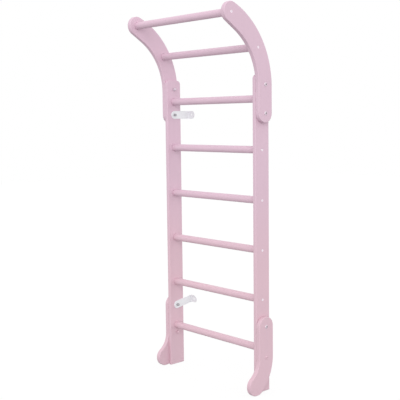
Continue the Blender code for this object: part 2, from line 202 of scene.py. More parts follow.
class LadderBoards(bpy.types.PropertyGroup):
    """Shapes of the side rails, top arms and feet"""

    edge_round: length("Edge Round", 0.003, "Radius along the edges of every board")
    rail_top_round: length("Rail Top Round", 0.020, "Radius of a side rail's upper corners")
    arm_bend: length("Arm Bend", 1.4395, "Height at which an arm starts to curve")
    head_radius: length("Head Radius", 0.045, "Radius of an arm's round head")
    head_undercut: length("Head Undercut", 0.0075, "How far an arm's inner curve passes under its head")
    foot_bend: length("Foot Bend", 0.175, "Height at which the back of a foot starts to curve")
    toe_radius: length("Toe Radius", 0.046, "Radius of a foot's round toe")
    toe_reach: length("Toe Reach", 0.1125, "How far a toe reaches forward of the rail's middle")
    toe_flat: length("Toe Flat", 0.008, "Length of the flat under a toe")
    toe_fillet: length("Toe Fillet", 0.100, "Radius of the hollow above a toe")
    socket_depth: length("Socket Depth", 0.009, "How deep the bars sit in the boards")
    clearance: length("Clearance", 0.0003, "Gap between a fastener or bar and its hole")
    hole_ease: length("Hole Ease", 0.0005, "Small round on the rim of a hole")
    bar_end_round: length("Bar End Round", 0.0015, "Chamfer on the ends of the bars")


class LadderFasteners(bpy.types.PropertyGroup):
    """Shapes of the screws, bolts, nuts and wall brackets"""

    screw_head: length("Screw Head", 0.0125, "Diameter of a screw's flat head")
    screw_head_depth: length("Screw Head Depth", 0.004, "Depth of a screw's cone")
    screw_shank: length("Screw Shank", 0.0055, "Diameter of a screw's shank")
    recess_reach: length("Recess Reach", 0.0024, "Half the length of a screw's cross recess")
    recess_width: length("Recess Width", 0.0005, "Half the width of the cross recess")
    recess_depth: length("Recess Depth", 0.0016, "Depth of the cross recess")
    bolt_shank: length("Bolt Shank", 0.008, "Diameter of a bolt's shank")
    bolt_head: length("Bolt Head", 0.018, "Diameter of a bolt's dome")
    bolt_dome: length("Bolt Dome", 0.0045, "Height of a bolt's dome")
    bolt_rim: length("Bolt Rim", 0.0008, "Height of the straight rim under a bolt's dome")
    bolt_socket: length("Bolt Socket", 0.006, "Size across the flats of a bolt's hexagon socket")
    bolt_socket_depth: length("Bolt Socket Depth", 0.0030, "Depth of a bolt's hexagon socket")
    nut_flats: length("Nut Flats", 0.013, "Size of a nut across its flats")
    nut_height: length("Nut Height", 0.0065, "Height of a nut's hexagon")
    nut_cap: length("Nut Cap", 0.012, "Diameter of a nut's round cap")
    bracket_width: length("Bracket Width", 0.040, "Width of a wall bracket's strip")
    bracket_metal: length("Bracket Metal", 0.003, "Thickness of a wall bracket's strip")
    bracket_bend: length("Bracket Bend", 0.003, "Inner radius of a wall bracket's bend")
    bracket_edge: length("Bracket Edge", 0.0006, "Round on the edges of a wall bracket")
    bracket_tab: length("Bracket Tab", 0.044, "Length of the tab that lies on the wall")
    wall_hole: length("Wall Hole", 0.009, "Diameter of the hole for a wall screw")


class LadderFinishes(bpy.types.PropertyGroup):
    """Colours and gloss of the ladder's finishes"""

    pink: colour("Pink Paint", (0.695, 0.500, 0.602), "Colour of the painted wood")
    # Painted light: these three paint warm light from the floor onto the lower boards, as a warmer paint
    # colour below a height
    painted_floor_light_pink: colour("Low Pink Paint", (0.709, 0.495, 0.566), "Warmer colour of the paint toward the floor")
    painted_floor_light_height: length("Low Pink Height", 0.50, "Height up to which the paint has its warmer colour")
    painted_floor_light_top: length("Pink Height", 1.10, "Height from which the paint has its plain colour")
    pink_roughness: share("Paint Roughness", 0.46, "Roughness of the satin paint")
    paint_wear: share("Paint Wear", 0.35, "How much the paint has thinned along the edges")
    white: colour("White Powder Coat", (0.86, 0.87, 0.90), "Colour of the wall brackets")
    white_roughness: share("Powder Coat Roughness", 0.42, "Roughness of the brackets")
    zinc: colour("Bright Zinc", (0.93, 0.83, 0.885), "Colour of the screws")
    zinc_roughness: share("Zinc Roughness", 0.34, "Roughness of the screws")
    nickel: colour("Dull Nickel", (0.71, 0.61, 0.66), "Colour of bolts, upper nuts and upper washers")
    nickel_roughness: share("Nickel Roughness", 0.36, "Roughness of bolts, upper nuts and upper washers")
    nickel_metal: share("Nickel Metal", 0.5, "How metallic the dull nickel looks under its film of dust")
    dark: colour("Dark Plate", (0.42, 0.41, 0.42), "Colour of the nuts that hold the brackets")
    dark_roughness: share("Dark Plate Roughness", 0.32, "Roughness of the nuts that hold the brackets")


class LadderStage(bpy.types.PropertyGroup):
    """Camera, light and floor"""

    camera_place: bpy.props.FloatVectorProperty(
        name="Camera Place",
        description="Where the camera stands",
        default=(2.8098, -2.6603, 1.2925),
        subtype="TRANSLATION",
        unit="LENGTH",
    )
    camera_azimuth: angle("Camera Azimuth", 47.668, "Angle of the camera about the ladder, from the front")
    camera_pitch: angle("Camera Pitch", 5.830, "How far the camera looks down")
    camera_roll: angle("Camera Roll", 0.699, "Turn of the camera about its view")
    camera_lens: number("Camera Lens", 70.705, "Focal length in millimetres", min=1.0, unit="CAMERA")
    room_light: number("Room Light", 1.04, "Strength of the even light from all around", min=0.0)
    front_strength: number("Front Strength", 1.05, "Strength of the wide light from the front", min=0.0)
    front_azimuth: angle("Front Azimuth", 45.0, "Angle of the wide light about the ladder, from the front")
    front_height: angle("Front Height", 16.0, "Angle of the wide light above the floor")
    front_spread: angle("Front Spread", 45.0, "Angle that the wide light fills, which softens its shadows")
    floor_tone: share("Floor Tone", 0.40, "How much light the pale floor sends back up to the ladder")
    floor_white: number("Floor White", 1.15, "How bright the camera sees the open floor", min=0.0)
    floor_shade: share("Floor Shade", 0.20, "How much of the shadows on the floor the camera sees")


# Node trees written as Python


class Wire:
    """The value of a socket. Arithmetic on it adds Math nodes."""

    def __init__(self, graph, socket):
        self.graph = graph
        self.socket = socket

    def maths(self, operation, first, second, clamp=False):
        sockets = {0: first, 1: second}
        return self.graph.value("ShaderNodeMath", sockets, operation=operation, use_clamp=clamp)

    def __add__(self, other):
        return self.maths("ADD", self, other)

    def __radd__(self, other):
        return self.maths("ADD", other, self)

    def __sub__(self, other):
        return self.maths("SUBTRACT", self, other)

    def __rsub__(self, other):
        return self.maths("SUBTRACT", other, self)

    def __mul__(self, other):
        return self.maths("MULTIPLY", self, other)

    def __rmul__(self, other):
        return self.maths("MULTIPLY", other, self)

    def __truediv__(self, other):
        return self.maths("DIVIDE", self, other)

    def __rtruediv__(self, other):
        return self.maths("DIVIDE", other, self)

    def clamped(self):
        return self.maths("ADD", self, 0.0, clamp=True)

    def centred(self):
        """A noise shifted to lie about zero."""
        return self - NOISE_MIDDLE


class Graph:
    """A node tree with one method that adds any node, for shaders and for Geometry Nodes."""

    MIX_FACTOR, MIX_FIRST, MIX_SECOND, MIX_RESULT = 0, 6, 7, 2

    def __init__(self, tree):
        self.tree = tree
        tree.nodes.clear()

    def node(self, kind, sockets=None, **settings):
        """Adds a node of a type, with its settings and then the values or links of its sockets."""
        added = self.tree.nodes.new(kind)
        for name, value in settings.items():
            setattr(added, name, value)
        for key, value in (sockets or {}).items():
            if isinstance(value, Wire):
                self.tree.links.new(value.socket, added.inputs[key])
            else:
                added.inputs[key].default_value = value
        return added

    def wire(self, node, output=0):
        return Wire(self, node.outputs[output])

    def value(self, kind, sockets=None, output=0, **settings):
        """Adds a node and gives the value of one of its outputs."""
        return self.wire(self.node(kind, sockets, **settings), output)

    def mixed(self, factor, first, second):
        """A colour that goes from the first to the second with the factor."""
        sockets = {self.MIX_FACTOR: factor, self.MIX_FIRST: first, self.MIX_SECOND: second}
        return self.value("ShaderNodeMix", sockets, self.MIX_RESULT, data_type="RGBA")

    def varied(self, factor, tone, dark, light):
        """A colour that goes from a darker to a lighter tint of a tone with the factor."""
        return self.mixed(factor, tinted(tone, by=dark), tinted(tone, by=light))

    def noise(self, place, scale, detail, roughness=0.5):
        sockets = {"Vector": place, "Scale": scale, "Detail": detail, "Roughness": roughness}
        return self.value("ShaderNodeTexNoise", sockets, "Fac")

    def stepped(self, value, low, high):
        """Goes smoothly from 0 to 1 as the value goes from low to high."""
        sockets = {"Value": value, "From Min": low, "From Max": high}
        return self.value("ShaderNodeMapRange", sockets, "Result", interpolation_type="SMOOTHSTEP")

    def attribute(self, name):
        """The value that a mesh carries under a name."""
        return self.value("ShaderNodeAttribute", output="Fac", attribute_name=name)

    def rubbed(self, scuffs, lift, low, high):
        """Wear along the edges of a piece, broken up by scuffs."""
        return self.stepped(self.attribute("edge") * (scuffs + lift), low, high)


def tinted(tone, by):
    """A colour made lighter or darker, as a shader colour."""
    return (*[min(1.0, channel * by) for channel in tone], 1.0)


def summed(*parts):
    """The sum of some values, each times its own weight."""
    first, *others = [value * weight for value, weight in parts]
    return sum(others, first)


def opened(owner):
    """The empty node tree of a new material or world."""
    owner.use_nodes = True
    return Graph(owner.node_tree)


def new_surface(name):
    """A material, its empty tree, and in that tree the place on the piece."""
    material = bpy.data.materials.new(name)
    graph = opened(material)
    return material, graph, graph.value("ShaderNodeTexCoord", output="Object")


def end_surface(graph, sockets, relief, strength, depth):
    """Ends a material's tree with its shader, and with a bump from its relief."""
    bump = graph.value("ShaderNodeBump", {"Height": relief, "Strength": strength, "Distance": depth})
    shader = graph.value("ShaderNodeBsdfPrincipled", {**sockets, "Normal": bump})
    graph.node("ShaderNodeOutputMaterial", {"Surface": shader})


# Finishes


def satin_pink_paint(name, grain):
    """Sprayed satin paint over solid wood. The grain shows faintly through it and runs along the piece, and
    the paint is thinner and more rubbed along the edges."""
    finish = bpy.context.scene.ladder_finishes
    material, graph, place = new_surface(name)
    along = graph.value("ShaderNodeMapping", {"Vector": place, "Scale": grain})
    fibres = graph.noise(along, scale=1.0, detail=5.0, roughness=0.62)
    pores = graph.noise(along, scale=3.4, detail=3.0, roughness=0.7)
    drift = graph.noise(place, scale=5.0, detail=3.0)
    peel = graph.noise(place, scale=750.0, detail=1.5)
    scuffs = graph.noise(place, scale=70.0, detail=5.0, roughness=0.68)
    rubbed = graph.rubbed(scuffs, lift=0.28, low=0.55, high=0.95) * finish.paint_wear
    # Painted light: the paint turns warmer toward the floor, standing in for warm light from the floor on
    # the lower boards
    height = graph.value("ShaderNodeSeparateXYZ", {"Vector": place}, "Z")
    above_painted_floor_light = graph.stepped(height, low=finish.painted_floor_light_height, high=finish.painted_floor_light_top)
    tones = (finish.painted_floor_light_pink, finish.pink)
    body = graph.mixed(above_painted_floor_light, *[graph.varied(drift, tone, dark=0.965, light=1.03) for tone in tones])
    shown = graph.stepped(fibres, low=0.48, high=0.75) * GRAIN_SHOWN
    grained = graph.mixed(shown, body, tinted(finish.pink, by=0.90))
    worn = graph.mixed(rubbed, grained, tinted(finish.pink, by=1.16))
    uneven = summed((drift.centred(), 0.10), (pores.centred(), 0.08), (rubbed, 0.12))
    gloss = finish.pink_roughness + uneven
    relief = summed((fibres, 0.55), (pores, 0.25), (peel, 0.30))
    sockets = {"Base Color": worn, "Roughness": gloss.clamped(), "Specular IOR Level": PAINT_SHINE}
    end_surface(graph, sockets, relief, strength=0.14, depth=0.0006)
    return material


def white_powder_coat(name):
    """White powder coat on steel strip, with its fine orange peel and a little grey rubbed on the edges."""
    finish = bpy.context.scene.ladder_finishes
    material, graph, place = new_surface(name)
    peel = graph.noise(place, scale=900.0, detail=2.0)
    drift = graph.noise(place, scale=22.0, detail=3.0)
    scuffs = graph.noise(place, scale=160.0, detail=5.0, roughness=0.7)
    rubbed = graph.rubbed(scuffs, lift=0.2, low=0.5, high=0.95) * COAT_WEAR
    body = graph.varied(drift, finish.white, dark=0.97, light=1.02)
    worn = graph.mixed(rubbed, body, tinted(finish.white, by=0.78))
    gloss = finish.white_roughness + summed((drift.centred(), 0.12), (rubbed, 0.1))
    sockets = {"Base Color": worn, "Roughness": gloss.clamped()}
    end_surface(graph, sockets, peel, strength=0.12, depth=0.0004)
    return material


def plated_steel(name, tone, roughness, metal):
    """Plated steel with fine turning marks, a cloudy and slightly blue plate, and dirt with painted shade
    darkening its recesses.
    """
    material, graph, place = new_surface(name)
    marks = graph.noise(place, scale=2600.0, detail=2.0)
    cloud = graph.noise(place, scale=160.0, detail=4.0, roughness=0.6)
    cast = [channel * factor for channel, factor in zip(tone, PLATE_CAST)]
    cloudy = graph.stepped(cloud, low=0.35, high=0.7)
    body = graph.mixed(cloudy, tinted(tone, by=0.95), tinted(cast, by=1.02))
    # Painted shade and dirt: the rings in a recess are darkened toward a near black
    dirty_and_shaded = graph.mixed(graph.attribute("recess") * DIRT_AND_SHADE_SHOWN, body, RECESS_DIRT_AND_SHADE)
    gloss = roughness + summed((cloud.centred(), 0.22), (marks.centred(), 0.12))
    sockets = {"Base Color": dirty_and_shaded, "Roughness": gloss.clamped(), "Metallic": metal}
    end_surface(graph, sockets, marks, strength=0.08, depth=0.0002)
    return material


def finish_for(name):
    """The material of that name, made when it is first asked for."""
    if name in bpy.data.materials:
        return bpy.data.materials[name]
    tones = bpy.context.scene.ladder_finishes
    grains = {
        "satin_pink_paint_upright": (GRAIN_ACROSS, GRAIN_ACROSS, GRAIN_ALONG),
        "satin_pink_paint_level": (GRAIN_ALONG, GRAIN_ACROSS, GRAIN_ACROSS),
    }
    plates = {
        "bright_zinc": (tones.zinc, tones.zinc_roughness, BARE_METAL),
        "dull_nickel": (tones.nickel, tones.nickel_roughness, tones.nickel_metal),
        "dark_plate": (tones.dark, tones.dark_roughness, BARE_METAL),
    }
    if name in grains:
        return satin_pink_paint(name, grains[name])
    if name in plates:
        return plated_steel(name, *plates[name])
    if name == "white_powder_coat":
        return white_powder_coat(name)
    raise ValueError(f"There is no finish called {name}")


# Making and finishing pieces


def add_object(name, data):
    added = bpy.data.objects.new(name, data)
    bpy.context.scene.collection.objects.link(added)
    return added


def made_plain(piece):
    """Turns what a piece's modifiers make into its own plain mesh."""
    bpy.context.view_layer.update()
    graph = bpy.context.evaluated_depsgraph_get()
    evaluated = piece.evaluated_get(graph)
    mesh = bpy.data.meshes.new_from_object(evaluated, preserve_all_data_layers=True, depsgraph=graph)
    piece.modifiers.clear()
    piece.data = mesh
    mesh.name = piece.name
    return piece


def shaded(piece):
    """Shades a piece smooth with crisp edges, and keeps its large faces flat."""
    piece.data.shade_smooth()
    piece.data.set_sharp_from_angle(angle=SHARP_ANGLE)
    weighted = piece.modifiers.new("flat_faces", "WEIGHTED_NORMAL")
    weighted.keep_sharp = True
    weighted.weight = FLAT_FACE_WEIGHT
    return made_plain(piece)


def check_closed(piece):
    """Stops with an error if a piece has an open edge."""
    shape = bmesh.new()
    shape.from_mesh(piece.data)
    closed = all(edge.is_manifold for edge in shape.edges)
    empty = not shape.faces
    shape.free()
    if empty or not closed:
        raise RuntimeError(f"{piece.name} is not a closed mesh")


def put_in_place(piece, body, nodes, slot):
    """Rides a finished piece on its body, in place of the solids that it stands for."""
    check_closed(piece)
    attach(piece, body)
    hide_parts(*nodes)


def made_mesh(shape, name):
    """Turns a shape into a mesh, with its faces outward."""
    bmesh.ops.recalc_face_normals(shape, faces=shape.faces)
    mesh = bpy.data.meshes.new(name)
    shape.to_mesh(mesh)
    shape.free()
    return mesh


def banded(shape, rows, closed=False):
    """Rings through rows of places, with a band of faces from each ring to the next. Gives the rings."""
    rings = [[shape.verts.new(place) for place in row] for row in rows]
    following = rings[1:] + rings[:1] if closed else rings[1:]
    for first, second in zip(rings, following):
        for i in range(len(first)):
            shape.faces.new((first[i - 1], second[i - 1], second[i], first[i]))
    return rings


def mark_rings(rings, layer, values):
    """Gives all points of a ring the ring's value."""
    for ring, value in zip(rings, values):
        for vertex in ring:
            vertex[layer] = value


def round_angles(steps):
    return [math.tau * i / steps for i in range(steps)]


# Boards with rounded edges


def arc(centre, radius, start, end, hollow=False):
    """Points of a round stretch of an outline, each with the direction that faces out of the board."""
    steps = max(2, math.ceil(abs(end - start) / ARC_STEP))
    points = []
    for i in range(steps + 1):
        turn = start + (end - start) * i / steps
        spoke = Vector((math.cos(turn), math.sin(turn)))
        points.append((Vector(centre) + radius * spoke, -spoke if hollow else spoke))
    return points


def bearing(start, end):
    offset = end - start
    return math.atan2(offset.y, offset.x)


def without_repeats(outline):
    return [pair for i, pair in enumerate(outline) if (pair[0] - outline[i - 1][0]).length > WELD]


def add_rim(shape, outline, thickness, edge_round, edge_layer):
    """The rounded rim of a board, from its outer face to its inner face. Gives the first and last ring."""
    turns = [QUARTER * i / ROUND_STEPS for i in range(ROUND_STEPS + 1)]
    rounded = [(edge_round * (1 - math.cos(t)), edge_round * (1 - math.sin(t)), t) for t in turns]
    lower = [(0.0, edge_round + EDGE_LAND, 0.0), *rounded]
    stations = [(thickness - rise, inset, turn) for rise, inset, turn in lower] + lower[::-1]
    rows = []
    for height, inset, _ in stations:
        rows.append([(height, *(point - inset * outward)) for point, outward in outline])
    rings = banded(shape, rows)
    mark_rings(rings, edge_layer, [math.sin(2 * turn) for _, _, turn in stations])
    return rings[0], rings[-1]


def add_hole(shape, centre, profile, edge_layer):
    """The wall of a hole, from (radius, height) points on a board's outer face to its inner face."""
    spokes = [Vector((math.cos(turn), math.sin(turn))) for turn in round_angles(HOLE_STEPS)]
    rows = [[(height, *(centre + radius * spoke)) for spoke in spokes] for radius, height in profile]
    rings = banded(shape, rows)
    mark_rings(rings[1:2], edge_layer, [1.0])
    return rings[0], rings[-1]


def board_mesh(name, outline, thickness, edge_round, holes):
    """A board with rounded edges and holes: the outline in Y and Z, with its thickness up from X = 0."""
    shape = bmesh.new()
    edge_layer = shape.verts.layers.float.new("edge")
    rims = [add_rim(shape, without_repeats(outline), thickness, edge_round, edge_layer)]
    rims += [add_hole(shape, centre, profile, edge_layer) for centre, profile in holes]
    for face, direction in ((0, 1.0), (1, -1.0)):
        borders = []
        for rim in rims:
            ring = rim[face]
            borders += [shape.edges.get((ring[i - 1], ring[i])) for i in range(len(ring))]
        bmesh.ops.triangle_fill(shape, edges=borders, use_beauty=True, normal=(direction, 0.0, 0.0))
    return made_mesh(shape, name)


def eased_hole(radius, thickness, ease):
    """A straight hole with a small round on both rims."""
    return [
        (radius + ease, thickness),
        (radius, thickness - ease),
        (radius, ease),
        (radius + ease, 0.0),
    ]


def bar_socket(bar, thickness):
    """The hole at the end of a bar: a countersink in the outer face and the bar's socket in the inner."""
    boards = bpy.context.scene.ladder_boards
    fasteners = bpy.context.scene.ladder_fasteners
    gap = boards.clearance
    ease = boards.hole_ease
    head = fasteners.screw_head / 2 + gap
    shank = fasteners.screw_shank / 2 + gap
    socket = extent(bar).y / 2 + gap
    return [
        (head + ease, thickness),
        (head, thickness - ease),
        (shank, thickness - fasteners.screw_head_depth - gap),
        (shank, boards.socket_depth),
        (socket, boards.socket_depth),
        (socket, ease),
        (socket + ease, 0.0),
    ]


def bolt_bore():
    """The radius of a hole for a bolt's shank."""
    scene = bpy.context.scene
    return scene.ladder_fasteners.bolt_shank / 2 + scene.ladder_boards.clearance


def make_boards(kind, outline, bars, bolts):
    """The left and right board of a kind, with the sockets of its bars and the holes of its bolts."""
    boards = bpy.context.scene.ladder_boards
    model = f"right_{kind}"
    inner_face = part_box(model)[0].x
    thickness = extent(model).x
    bolt_hole = eased_hole(bolt_bore(), thickness, boards.hole_ease)
    holes = [(in_side_plane(bar), bar_socket(bar, thickness)) for bar in bars]
    holes += [(in_side_plane(f"right_{bolt}_bolt"), bolt_hole) for bolt in bolts]
    material, slot = PAINT
    for side, sign in SIDES.items():
        name = f"{side}_{kind}_board"
        mesh = board_mesh(name, outline, thickness, boards.edge_round, holes)
        mesh.transform(Matrix.Translation((inner_face, 0.0, 0.0)))
        if sign < 0:
            mesh.transform(Matrix.Scale(-1.0, 4, (1.0, 0.0, 0.0)))
            mesh.flip_normals()
        mesh.materials.append(finish_for(material))
        put_in_place(shaded(add_object(name, mesh)), "frame", [f"{side}_{kind}"], slot)


def rail_outline():
    """Square at the floor, where the edge rounding is mitred, and with round corners at the top."""
    rail = extent("right_side_rail")
    half = rail.y / 2
    high = bpy.context.scene.ladder_boards.rail_top_round
    return [
        (Vector((-half, 0.0)), Vector((-1.0, -1.0))),
        (Vector((half, 0.0)), Vector((1.0, -1.0))),
        *arc((half - high, rail.z - high), high, 0.0, QUARTER),
        *arc((-half + high, rail.z - high), high, QUARTER, math.pi),
    ]


def arm_outline():
    """From the round lower end up the outer curve, round the head and back along the inner curve."""
    boards = bpy.context.scene.ladder_boards
    head = in_side_plane("front_bar")
    low_end = in_side_plane("right_arm_lower_bolt")
    radius = boards.head_radius
    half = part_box("right_top_arm")[1].y
    rise = head.y - boards.arm_bend
    below = radius + boards.head_undercut
    back = half - head.x
    front = -half - head.x
    outer = (back**2 + rise**2 - radius**2) / (2 * (back - radius))
    inner = (front**2 + rise**2 - below**2) / (2 * (front + below))
    outer_centre = Vector((half - outer, boards.arm_bend))
    inner_centre = Vector((-half - inner, boards.arm_bend))
    meets_head = bearing(outer_centre, head)
    leaves_head = bearing(head, inner_centre) + math.tau
    leaves_head -= math.acos((radius + inner) / (inner_centre - head).length)
    return [
        *arc(low_end, half, math.pi, math.tau),
        *arc(outer_centre, outer, 0.0, meets_head),
        *arc(head, radius, meets_head, leaves_head),
        *arc(inner_centre, inner, leaves_head - math.pi, 0.0, hollow=True),
    ]


def foot_outline():
    """From the round top down the front, out round the toe, along the floor and up the curved back."""
    boards = bpy.context.scene.ladder_boards
    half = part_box("right_foot")[1].y
    toe = Vector((boards.toe_radius - boards.toe_reach, boards.toe_radius))
    heel = toe + Vector((boards.toe_flat, 0.0))
    run = half - heel.x
    rise = boards.foot_bend - boards.toe_radius
    back = (run**2 + rise**2 - boards.toe_radius**2) / (2 * (run - boards.toe_radius))
    back_centre = Vector((half - back, boards.foot_bend))
    instep_y = -half - boards.toe_fillet
    instep_rise = math.sqrt((boards.toe_radius + boards.toe_fillet) ** 2 - (toe.x - instep_y) ** 2)
    instep = Vector((instep_y, toe.y + instep_rise))
    to_toe = bearing(instep, toe)
    to_heel = bearing(back_centre, heel)
    floor = 3 * QUARTER
    return [
        *arc(in_side_plane("right_foot_upper_bolt"), half, 0.0, math.pi),
        *arc(instep, boards.toe_fillet, 0.0, to_toe, hollow=True),
        *arc(toe, boards.toe_radius, to_toe + math.pi, floor),
        *arc(heel, boards.toe_radius, floor, to_heel + math.tau),
        *arc(back_centre, back, to_heel, 0.0),
    ]


# Geometry Nodes for what repeats


class PieceTree(Graph):
    """A Geometry Nodes tree with named inputs, which ends in real geometry with its material set."""

    RANDOM_MOST, RANDOM_SEED, RANDOM_FLOAT = 3, 8, 1

    def __init__(self, name, inputs):
        super().__init__(bpy.data.node_groups.new(name, "GeometryNodeTree"))
        sockets = self.tree.interface
        for label, kind in inputs.items():
            sockets.new_socket(label, in_out="INPUT", socket_type=f"NodeSocket{kind}")
        sockets.new_socket("Geometry", in_out="OUTPUT", socket_type="NodeSocketGeometry")
        self.inputs = self.node("NodeGroupInput")

    def __getitem__(self, label):
        """The value of a named input."""
        return self.wire(self.inputs, label)

    def finish(self, instances):
        """Ends the tree: the instances made real, with the given material."""
        real = self.value("GeometryNodeRealizeInstances", {"Geometry": instances})
        dressed = self.value("GeometryNodeSetMaterial", {"Geometry": real, "Material": self["Finish"]})
        self.node("NodeGroupOutput", {"Geometry": dressed})

    def made_on(self, piece, values):
        """Runs the tree on a piece, with values for its named inputs, and leaves a plain mesh."""
        modifier = piece.modifiers.new(self.tree.name, "NODES")
        modifier.node_group = self.tree
        for item in self.tree.interface.items_tree:
            if item.in_out == "INPUT" and item.name in values:
                modifier[item.identifier] = values[item.name]
        return made_plain(piece)


def round_bar_tree():
    """A row of round bars along X, one above the other, with chamfered ends."""
    inputs = {
        "Count": "Int",
        "First Place": "Vector",
        "Pitch": "Float",
        "Length": "Float",
        "Diameter": "Float",
        "End Chamfer": "Float",
        "Sides": "Int",
        "Finish": "Material",
    }
    tree = PieceTree("round_bars", inputs)
    chamfer = tree["End Chamfer"]
    radius = tree["Diameter"] / 2
    tip = radius - chamfer
    run = tree["Length"] - chamfer * 2
    disc = {"Vertices": tree["Sides"], "Radius": tip}
    end = tree.value("GeometryNodeMeshCircle", disc, fill_type="NGON")
    bar = end
    top = True
    for rise, scale in ((chamfer, radius / tip), (run, 1.0), (chamfer, tip / radius)):
        sockets = {"Mesh": bar, "Selection": top, "Offset Scale": rise, "Individual": False}
        above_painted_floor_light = tree.node("GeometryNodeExtrudeMesh", sockets, mode="FACES")
        top = tree.wire(above_painted_floor_light, "Top")
        sockets = {"Geometry": tree.wire(above_painted_floor_light, "Mesh"), "Selection": top, "Scale": scale}
        bar = tree.value("GeometryNodeScaleElements", sockets, domain="FACE")
    back = tree.value("GeometryNodeFlipFaces", {"Mesh": end})
    both = tree.node("GeometryNodeJoinGeometry", {"Geometry": bar})
    tree.tree.links.new(back.socket, both.inputs["Geometry"])
    closed = tree.value("GeometryNodeMergeByDistance", {"Geometry": tree.wire(both), "Distance": WELD})
    shift = tree.value("ShaderNodeCombineXYZ", {"X": tree["Length"] / -2})
    sockets = {"Geometry": closed, "Translation": shift, "Rotation": (0.0, QUARTER, 0.0)}
    level = tree.value("GeometryNodeTransform", sockets)
    step = tree.value("ShaderNodeCombineXYZ", {"Z": tree["Pitch"]})
    line = {"Count": tree["Count"], "Start Location": tree["First Place"], "Offset": step}
    places = tree.value("GeometryNodeMeshLine", line, mode="OFFSET")
    tree.finish(tree.value("GeometryNodeInstanceOnPoints", {"Points": places, "Instance": level}))
    return tree


def fastener_tree():
    """A fastener on each point, facing along the point's own direction and turned by chance about it."""
    inputs = {
        "Geometry": "Geometry",
        "Fastener": "Object",
        "Size": "Float",
        "Turn Seed": "Int",
        "Finish": "Material",
    }
    tree = PieceTree("fasteners", inputs)
    facing = tree.value("GeometryNodeInputNamedAttribute", {"Name": "facing"}, data_type="FLOAT_VECTOR")
    aim = tree.value("FunctionNodeAlignRotationToVector", {"Vector": facing}, axis="Z")
    blank = tree.value("GeometryNodeObjectInfo", {"Object": tree["Fastener"]}, "Geometry")
    sockets = {"Points": tree["Geometry"], "Instance": blank, "Rotation": aim, "Scale": tree["Size"]}
    copies = tree.value("GeometryNodeInstanceOnPoints", sockets)
    chance = {tree.RANDOM_MOST: math.tau, tree.RANDOM_SEED: tree["Turn Seed"]}
    turn = tree.value("FunctionNodeRandomValue", chance, tree.RANDOM_FLOAT, data_type="FLOAT")
    spin = tree.value("ShaderNodeCombineXYZ", {"Z": turn})
    sockets = {"Instances": copies, "Rotation": spin, "Local Space": True}
    tree.finish(tree.value("GeometryNodeRotateInstances", sockets))
    return tree


def make_bars(name, bars, pitch):
    """A row of like bars, the first at the place of its solid and each next one a pitch higher."""
    size = extent(bars[0])
    material, slot = LEVEL_PAINT
    values = {
        "Count": len(bars),
        "First Place": tuple(middle(bars[0])),
        "Pitch": pitch,
        "Length": size.x,
        "Diameter": size.y,
        "End Chamfer": bpy.context.scene.ladder_boards.bar_end_round,
        "Sides": BAR_SIDES,
        "Finish": finish_for(material),
    }
    piece = round_bar_tree().made_on(add_object(name, bpy.data.meshes.new(name)), values)
    put_in_place(shaded(piece), "frame", bars, slot)


def fastener_nodes(joints, kind):
    """The solids of a kind of fastener at some joints, each with the sign of the side that it is on."""
    return {f"{side}_{joint}_{kind}": sign for side, sign in SIDES.items() for joint in joints}


def outer_end(node, sign):
    """The outermost point of a fastener's axis."""
    low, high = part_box(node)
    place = (low + high) / 2
    place.x = high.x if sign > 0 else low.x
    return place


def make_fasteners(name, blank, nodes, seed, finish, rise=0.0, inward=False):
    """A piece with a copy of a fastener at each of its solids, with its own Z axis pointing outward, or
    inward. Its head may rise above its seat by a height, up to the solid's outer end."""
    material, slot = finish
    ways = [Vector((-sign if inward else sign, 0.0, 0.0)) for sign in nodes.values()]
    points = bpy.data.meshes.new(f"{name}_seats")
    ends = [outer_end(node, sign) for node, sign in nodes.items()]
    points.from_pydata([end - rise * way for end, way in zip(ends, ways)], [], [])
    facing = points.attributes.new("facing", "FLOAT_VECTOR", "POINT")
    for value, way in zip(facing.data, ways):
        value.vector = way
    pattern = add_object(f"{name}_blank", blank)
    values = {"Fastener": pattern, "Size": 1.0, "Turn Seed": seed, "Finish": finish_for(material)}
    piece = fastener_tree().made_on(add_object(name, points), values)
    bpy.data.objects.remove(pattern, do_unlink=True)
    put_in_place(shaded(piece), "frame", list(nodes), slot)


# Turned fasteners


def turned_rows(section, steps):
    """Rows of places round Z, from (radius, height) pairs given as numbers or as functions of the angle."""
    rows = []
    for pair in section:
        row = []
        for turn in round_angles(steps):
            radius, height = [part(turn) if callable(part) else part for part in pair]
            row.append((radius * math.cos(turn), radius * math.sin(turn), height))
        rows.append(row)
    return rows


def lofted_mesh(name, section, steps, recessed=0):
    """A closed shape round Z from rings of (radius, height). The first and last close in a point on the
    axis. The first few rings between them may lie in a recess, which the finish darkens with dirt and
    painted shade."""
    shape = bmesh.new()
    recess_layer = shape.verts.layers.float.new("recess")
    rings = banded(shape, turned_rows(section[1:-1], steps))
    mark_rings(rings, recess_layer, [1.0] * recessed)
    for (_, height), ring in ((section[0], rings[0]), (section[-1], rings[-1])):
        tip = shape.verts.new((0.0, 0.0, height))
        tip[recess_layer] = ring[0][recess_layer]
        for i in range(steps):
            shape.faces.new((tip, ring[i - 1], ring[i]))
    bmesh.ops.remove_doubles(shape, verts=shape.verts, dist=WELD)
    return made_mesh(shape, name)


def hexagon(across_flats):
    """The radius of a hexagon at an angle."""
    sixth = math.pi / 3
    return lambda turn: across_flats / 2 / math.cos(turn % sixth - sixth / 2)


def cross(reach, width):
    """The radius of a cross at an angle, from half its length and half the width of its arms."""

    def radius(turn):
        off = abs((turn + QUARTER / 2) % QUARTER - QUARTER / 2)
        return reach / math.cos(off) if math.tan(off) <= width / reach else width / math.sin(off)

    return radius


def scaled(radius, factor):
    return lambda turn: factor * radius(turn)


